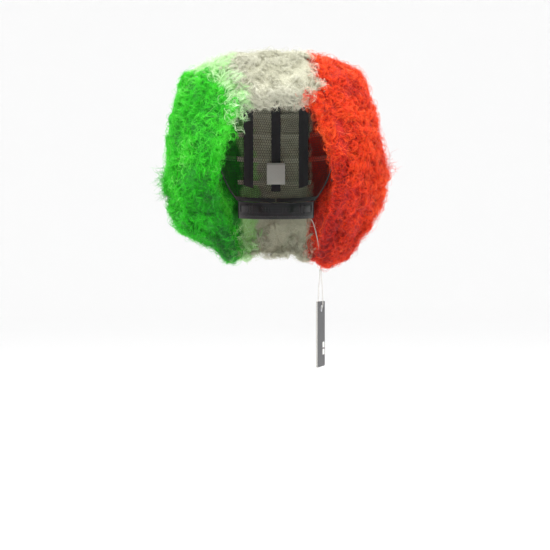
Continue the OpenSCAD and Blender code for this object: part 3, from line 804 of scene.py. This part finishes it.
def bed_material():
    """Packed fibre in painted shade: each colour mottled by noise and painted darker than the curls over it,
    meeting along the same edges as the curls.
    """
    g = Graph("hair_bed")
    tufts = g.blend(g.noise(90, 3), g.noise(420, 2, 2.5), 0.6)
    wobble = g.math("MULTIPLY", g.math("SUBTRACT", g.noise(60), 0.5), 24 * MM)
    # a float curve's own range, 0 to 1, stands for this far to either side of the origin
    reach = 150 * MM

    def on_curve(value):
        return value * MM / reach / 2 + 0.5

    def past(edge, back=None):
        """From 0 on the left of a colour's edge to 1 on its right, over a soft width."""
        curve = g.node("ShaderNodeFloatCurve")
        g.link(g.spread(g.z, -reach, reach), curve.inputs["Value"])
        line = curve.mapping.curves[0]
        spots = [(on_curve(z), on_curve(x)) for z, x in zip(*edge)]
        line.points[0].location = (0, spots[0][1])
        line.points[1].location = (1, spots[-1][1])
        for spot in spots:
            line.points.new(*spot)
        curve.mapping.update()
        place = g.spread(curve.outputs[0], 0, 1, -reach, reach)
        if back is not None:
            front = g.spread(g.y, BACK_CHANGE[0] * MM, BACK_CHANGE[1] * MM, 1, 0)
            place = g.math("MULTIPLY_ADD", g.math("SUBTRACT", place, back), front, back)
        return g.spread(g.math("ADD", g.math("SUBTRACT", g.x, place), wobble), -4 * MM, 4 * MM)

    def mottled(family):
        """Painted shade: from a little darker than the family's deepest shade to its next one."""
        deep, mid = (srgb(*SHADES[family][k]) for k in (0, 1))
        # painted shade: the deepest shade darkened further, for the packed fibre under the curls
        return g.ramp(tufts, tuple(c * 0.8 for c in deep[:3]) + (1.0,), mid, 0.35, 0.65)

    colour = g.mix(past(GREEN_EDGE), mottled("green"), mottled("mint"))
    colour = g.mix(past(IVORY_EDGE), colour, mottled("ivory"))
    colour = g.mix(past(ORANGE_EDGE, ORANGE_BACK * MM), colour, mottled("orange"))
    return g.finish(colour, 0.8, tufts, 1 * MM)


def sink_surface(rng, mesh, scalp):
    """Draws the hair surface in under the curls, with soft lumps, by less than half of its depth."""
    co, no, tree = scalp.co, scalp.no, scalp.tree
    just_inside, far = 0.3 * MM, 0.1
    through = [tree.ray_cast(Vector(c - n * just_inside), Vector(-n), far)[3] or far for c, n in zip(co, no)]
    lumps = smooth_noise(rng, 7 * MM, 12)
    depth = (INSET + (5.5 + 1.5 * lumps(co)) * MM) * (1 - under_cap(co)) + 0.2 * MM
    depth = np.minimum(depth, 0.38 * np.array(through))
    inner = co - no * depth[:, None]
    # every point is smoothed, and one that a fold has pushed outwards goes on following its neighbours
    passes, shared_passes = 9, 4
    nearest = [tree.find_nearest(Vector(p)) for p in inner]
    spot, facing = (np.array([list(n[k]) for n in nearest]) for k in (0, 1))
    loose = ((inner - spot) * facing).sum(1) > -0.5 * depth
    ends = np.empty(len(mesh.edges) * 2, np.int32)
    mesh.edges.foreach_get("vertices", ends)
    ends = ends.reshape(-1, 2)
    joined = np.bincount(ends.reshape(-1), minlength=len(co))[:, None]
    for k in range(passes):
        total = np.zeros_like(inner)
        np.add.at(total, ends[:, 0], inner[ends[:, 1]])
        np.add.at(total, ends[:, 1], inner[ends[:, 0]])
        inner = np.where((loose | (k < shared_passes))[:, None], total / joined, inner)
    mesh.vertices.foreach_set("co", inner.reshape(-1).astype(np.float32))


def slice_of(mesh, name, low, high):
    """The part of a closed mesh between two values of x, closed again. None leaves that side whole."""
    bm = bmesh.new()
    bm.from_mesh(mesh)
    for x, facing in ((low, -1), (high, 1)):
        if x is None:
            continue
        everything = bm.verts[:] + bm.edges[:] + bm.faces[:]
        cut = bmesh.ops.bisect_plane(
            bm, geom=everything, plane_co=(x, 0, 0), plane_no=(facing, 0, 0), clear_outer=True
        )
        edges = [e for e in cut["geom_cut"] if isinstance(e, bmesh.types.BMEdge)]
        bmesh.ops.triangle_fill(bm, use_beauty=True, use_dissolve=False, edges=edges)
    bmesh.ops.recalc_face_normals(bm, faces=bm.faces)
    part = bpy.data.meshes.new(name)
    bm.to_mesh(part)
    bm.free()
    return part


def add_hair_beds(rng, mesh, scalp):
    """The packed fibre inside each colour."""
    sink_surface(rng, mesh, scalp)
    material = bed_material()
    cuts = {"green": (None, GREEN_CUT), "white": (GREEN_CUT, ORANGE_CUT), "orange": (ORANGE_CUT, None)}
    for colour, (low, high) in cuts.items():
        name = f"{colour}_hair_bed"
        obj = new_object(name, slice_of(mesh, name, low, high))
        obj.data.materials.append(material)
        obj.data.shade_smooth()
        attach(obj, "cap")
        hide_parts(*[n for n in hair_nodes() if n.startswith(colour)])


# ---- ropes and small meshes

def smooth_route(route, count):
    """Points along a smooth curve through a route."""
    return along_curve(np.array(route)[None], np.linspace(0, 1, count)[None])[0]


def ring_frames(path):
    """Two unit vectors across each point of one path, turning as little as possible."""
    ahead = unit(np.gradient(path, axis=0))
    normal = np.zeros_like(path)
    normal[0] = unit(np.cross(ahead[0], [0.31, 0.92, 0.23]))
    for k in range(1, len(path)):
        normal[k] = unit(normal[k - 1] - ahead[k] * (normal[k - 1] @ ahead[k]))
    return normal, np.cross(ahead, normal)


def rope(name, path, diameter, pitch, sides=10):
    """Closed tube with the outline of two strands twisted together."""
    u, v = ring_frames(path)
    travel = np.concatenate([[0], np.cumsum(np.linalg.norm(np.diff(path, axis=0), axis=1))])
    angle = np.arange(sides) * 2 * math.pi / sides
    lobes = np.abs(np.cos(angle[None] - travel[:, None] / pitch * math.pi))
    size = diameter / 2 * (0.7 + 0.3 * lobes)
    rings = path[:, None] + size[..., None] * (
        np.cos(angle)[None, :, None] * u[:, None] + np.sin(angle)[None, :, None] * v[:, None]
    )
    faces = ring_faces(len(path), sides)
    faces += [tuple(reversed(range(sides))), tuple((len(path) - 1) * sides + k for k in range(sides))]
    mesh = bpy.data.meshes.new(name)
    mesh.from_pydata(rings.reshape(-1, 3).tolist(), [], faces)
    mesh.shade_smooth()
    return new_object(name, mesh)


def string_material():
    """Fuzzy cotton."""
    g = Graph("cotton_string")
    fuzz = g.blend(g.noise(2500, 3), g.noise(600), 0.4)
    colour = g.ramp(fuzz, srgb(150, 148, 142), srgb(214, 212, 206))
    return g.finish(colour, 0.85, fuzz, 0.1 * MM, Sheen_Weight=0.3)


def add_string():
    """The tag's free loop of string, its knot, and the fixed end inside the hair."""
    half = [TAG_HOLE + out * MM * TAG_NORMAL + [0, 0, up * MM] for out, up in HALF_LOOP]
    other = [TAG_HOLE - out * MM * TAG_NORMAL + [0, 0, up * MM] for out, up in reversed(HALF_LOOP)]
    path = smooth_route(half + other, 110)
    loop = rope("string_loop", path, STRING_DIAMETER, STRING_LAY)
    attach(loop, "tag_cord")
    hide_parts("tag_string")
    t = np.linspace(0, 2 * math.pi, 60)[:, None]
    trefoil = np.hstack([np.sin(t) + 2 * np.sin(2 * t), np.cos(t) - 2 * np.cos(2 * t), -np.sin(3 * t)])
    knot = rope("string_knot", TAG_PIVOT + trefoil * 0.55 * MM, 1.0 * MM, STRING_LAY)
    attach(knot, "cap")
    material = string_material()
    for obj in (loop, knot):
        obj.data.materials.append(material)
    paint("tag_string_anchor", material)


# ---- cap

def paint(node, material):
    """Gives a CAD node its material."""
    for slot in NODES[node].material_slots:
        slot.material = material
    if not NODES[node].material_slots:
        NODES[node].data.materials.append(material)


def knit(name, dark, light, pitch, ribs=False, centre_y=0.0, radius=90 * MM):
    """Knitted or woven cloth round a vertical axis: crossing ridges, with fuzz between them."""
    g = Graph(name)
    along = g.around(radius, centre_y)
    across = g.ridges(g.z, pitch if not ribs else pitch * 2.2)
    threads = g.ridges(along, pitch)
    weave = threads if ribs else g.math("MULTIPLY", threads, across)
    weave = g.blend(weave, across, 0.25)
    fuzz = g.noise(1800, 3)
    tone = g.blend(weave, fuzz, 0.35)
    colour = g.ramp(tone, srgb(*dark), srgb(*light), 0.2, 0.8)
    return g.finish(colour, g.spread(fuzz, 0.3, 0.7, 0.75, 0.95), tone, 0.35 * MM, Sheen_Weight=0.25)


def weft_material(family):
    """Header of a weft: fibres packed side by side and crossed by two rows of stitching."""
    g = Graph(f"{family}_weft")
    fibres = g.ridges(g.math("ADD", g.around(90 * MM), g.math("MULTIPLY", g.noise(300), 4 * MM)), 0.9 * MM)
    stitches = g.ridges(g.z, 2.4 * MM)
    tone = g.blend(g.blend(fibres, g.noise(900, 3), 0.4), stitches, 0.2)
    colour = g.ramp(tone, srgb(*SHADES[family][0]), srgb(*SHADES[family][2]), 0.3, 0.75)
    return g.finish(colour, 0.6, tone, 0.4 * MM, Sheen_Weight=0.2)


def on_cap(azimuth, elevation, out):
    """Points on the cap, a distance outside the head space."""
    a, e = np.radians(azimuth), np.radians(elevation)
    size = HEAD + np.asarray(out)[..., None]
    return np.stack([np.cos(e) * np.sin(a), -np.cos(e) * np.cos(a), np.sin(e)], -1) * size


def add_net():
    """The crown's stretch net: hexagonal cells of thin thread."""
    bm = bmesh.new()
    bmesh.ops.create_icosphere(bm, subdivisions=6, radius=1.0)
    ends = np.array([
        [list(f.calc_center_median()) for f in e.link_faces] for e in bm.edges if len(e.link_faces) == 2
    ])
    bm.free()
    ends = unit(ends)
    azimuth = np.degrees(np.arctan2(ends[..., 0], -ends[..., 1]))
    rim = np.where(np.abs(azimuth) < CAP_SIDE, BAND_HEIGHT, BINDING_HEIGHT)
    overlap, out = 0.6, 1.6 * MM
    low = cap_edge(azimuth) + rim - overlap
    keep = (np.degrees(np.arcsin(ends[..., 2])) > low).all(1)
    threads = ends[keep] * (HEAD + out)
    middle = threads.mean(1, keepdims=True)
    threads = np.concatenate([threads[:, :1], middle, threads[:, 1:]], axis=1)
    g = Graph("net_thread")
    fuzz = g.noise(2200, 3)
    material = g.finish(g.ramp(fuzz, srgb(20, 20, 22), srgb(52, 52, 56)), 0.8, fuzz, 0.1 * MM)
    shade = np.zeros((len(threads), 2), int)
    net = tube_mesh("crown_net_threads", threads, np.full(len(threads), 0.55 * MM), shade, [material], False)
    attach(net, "cap")
    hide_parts("crown_net")


def add_stitches():
    """Rows of sewing along the edge band, seen from inside and outside."""
    # in degrees: how far the rows are from the band's edges, their ends, and each stitch and its pitch
    margin, first, last, stitch, pitch = 1.2, -97, 96, 1.35, 2.1
    start = np.arange(first, last, pitch)
    t = np.linspace(0, 1, 4)
    azimuth = start[:, None] + stitch * t
    rows = []
    for rise in (margin, BAND_HEIGHT - margin):
        for out, way in ((1.15 * MM, -1), (2.05 * MM, 1)):
            lift = 0.25 * MM * np.sin(math.pi * t) * way
            rows.append(on_cap(azimuth, cap_edge(azimuth) + rise, out + lift + 0 * azimuth))
    paths = np.concatenate(rows)
    g = Graph("sewing_thread")
    fuzz = g.noise(3000)
    material = g.finish(g.ramp(fuzz, srgb(58, 58, 62), srgb(104, 104, 110)), 0.6, fuzz, 0.05 * MM)
    shade = np.zeros((len(paths), 3), int)
    obj = tube_mesh("band_stitches", paths, np.full(len(paths), 0.5 * MM), shade, [material], False)
    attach(obj, "cap")


def add_label():
    """Blank satin label, sewn in at its top."""
    width, length = LABEL_SIZE
    cols, rows, thick = 12, 15, 0.35 * MM
    verts, faces = [], []
    for side in (0, 1):
        for r in range(rows + 1):
            for c in range(cols + 1):
                x, drop = (c / cols - 0.5) * width, r / rows * length
                bow = 0.5 * MM * math.sin(drop / length * 2.4) * math.cos(x / width * 5)
                depth = -thick * side - bow
                verts.append((
                    LABEL_TOP[0] + x,
                    LABEL_TOP[1] - drop * math.sin(LABEL_LEAN) + depth * math.cos(LABEL_LEAN),
                    LABEL_TOP[2] - drop * math.cos(LABEL_LEAN) - depth * math.sin(LABEL_LEAN),
                ))

    def at(side, row, col):
        return (side * (rows + 1) + row) * (cols + 1) + col

    for r in range(rows):
        for c in range(cols):
            quad = [(r, c), (r, c + 1), (r + 1, c + 1), (r + 1, c)]
            faces.append([at(0, *p) for p in quad])
            faces.append([at(1, *p) for p in reversed(quad)])
    rim = [(0, c) for c in range(cols)] + [(r, cols) for r in range(rows)]
    rim += [(rows, c) for c in range(cols, 0, -1)] + [(r, 0) for r in range(rows, 0, -1)]
    for p, q in zip(rim, rim[1:] + rim[:1]):
        faces.append([at(0, *q), at(0, *p), at(1, *p), at(1, *q)])
    mesh = bpy.data.meshes.new("satin_label")
    mesh.from_pydata(verts, [], faces)
    label = new_object("satin_label", mesh)
    g = Graph("satin")
    weave = g.blend(g.ridges(g.x, 0.5 * MM), g.ridges(g.z, 0.35 * MM), 0.6)
    hem = g.spread(g.z, LABEL_TOP[2] - 3.2 * MM, LABEL_TOP[2] - 2.6 * MM)
    colour = g.mix(hem, g.ramp(weave, srgb(206, 205, 200), srgb(232, 231, 227)), srgb(190, 189, 184))
    mesh.materials.append(g.finish(colour, 0.38, weave, 0.08 * MM, Sheen_Weight=0.3))
    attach(label, "label")
    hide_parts("care_label")


def plastic(name, colour, roughness):
    """Moulded plastic with a fine grain."""
    g = Graph(name)
    grain = g.noise(1400, 3)
    tone = g.ramp(grain, srgb(*[c * 0.85 for c in colour]), srgb(*colour))
    return g.finish(tone, g.spread(grain, 0.3, 0.7, roughness - 0.08, roughness + 0.08), grain, 0.04 * MM)


def add_cap_materials():
    """Cloth, plastic and thread of the cap's CAD nodes."""
    band = knit("ribbed_band", (16, 16, 18), (50, 50, 55), 1.6 * MM, ribs=True)
    for n in ("front_band", "right_edge_binding", "left_edge_binding", "right_ear_tab", "left_ear_tab"):
        paint(n, band)
    nape = (True, NAPE_Y, NAPE_RADIUS)
    paint("nape_band", knit("nape_rib", (16, 16, 18), (52, 52, 57), 1.5 * MM, *nape))
    paint("nape_elastic", knit("elastic_rib", (30, 30, 32), (76, 76, 80), 1.1 * MM, *nape))
    strap = knit("strap_rib", (12, 12, 14), (44, 44, 48), 0.9 * MM, *nape)
    paint("forehead_lining", knit("velvet", (26, 24, 26), (62, 58, 62), 0.8 * MM))
    tape = knit("woven_tape", (28, 28, 31), (70, 70, 75), 1.3 * MM)
    for n in ("centre_tape", "right_tape", "left_tape", "ear_to_ear_tape"):
        paint(n, tape)
    thread = knit("loop_thread", (26, 26, 28), (72, 72, 76), 0.6 * MM)
    stay = plastic("stay_plastic", (196, 196, 200), 0.45)
    hook = plastic("hook_plastic", (30, 30, 32), 0.35)
    for side in ("right", "left"):
        paint(f"{side}_adjuster_strap", strap)
        paint(f"{side}_adjuster_loops", thread)
        paint(f"{side}_ear_stay", stay)
        paint(f"{side}_strap_hook", hook)
    for colour, family in (("green", "green"), ("white", "ivory"), ("orange", "orange")):
        material = weft_material(family)
        for n in NODES:
            if n.startswith(f"{colour}_weft"):
                paint(n, material)


# ---- tag

def card_material():
    """Coated dark card with a pale core that shows at its cut edges."""
    g = Graph("tag_card")
    facing = g.node("ShaderNodeVectorMath")
    facing.operation = "DOT_PRODUCT"
    g.link(g.normal, facing.inputs[0])
    facing.inputs[1].default_value = TAG_NORMAL
    flat = g.spread(g.math("ABSOLUTE", facing.outputs["Value"]), 0.5, 0.7)
    grain = g.blend(g.noise(700, 4), g.noise(2600, 2), 0.4)
    face = g.ramp(grain, srgb(30, 31, 33), srgb(70, 70, 72), 0.38, 0.62)
    layers = g.ramp(g.noise(2600, 2), srgb(150, 149, 144), srgb(206, 204, 198))
    return g.finish(g.mix(flat, layers, face), g.spread(grain, 0.3, 0.7, 0.42, 0.58), grain, 0.05 * MM)


def add_tag_materials():
    """The card's leaves, its eyelet and its two blank patches."""
    card = card_material()
    paint("tag_front_leaf", card)
    paint("tag_back_leaf", card)
    g = Graph("eyelet_metal")
    scuff = g.noise(1200, 4)
    metal = g.finish(
        g.ramp(scuff, srgb(176, 176, 180), srgb(226, 226, 230)), g.spread(scuff, 0.3, 0.7, 0.18, 0.4),
        scuff, 0.03 * MM, Metallic=1.0
    )
    paint("tag_eyelet", metal)
    g = Graph("patch_paper")
    pulp = g.noise(1600, 4)
    paint("tag_patch", g.finish(g.ramp(pulp, srgb(224, 223, 218), srgb(246, 245, 241)), 0.7, pulp, 0.05 * MM))


add_camera()
add_string()
add_studio()
add_cap_materials()
add_net()
add_stitches()
add_label()
add_tag_materials()
add_hair()
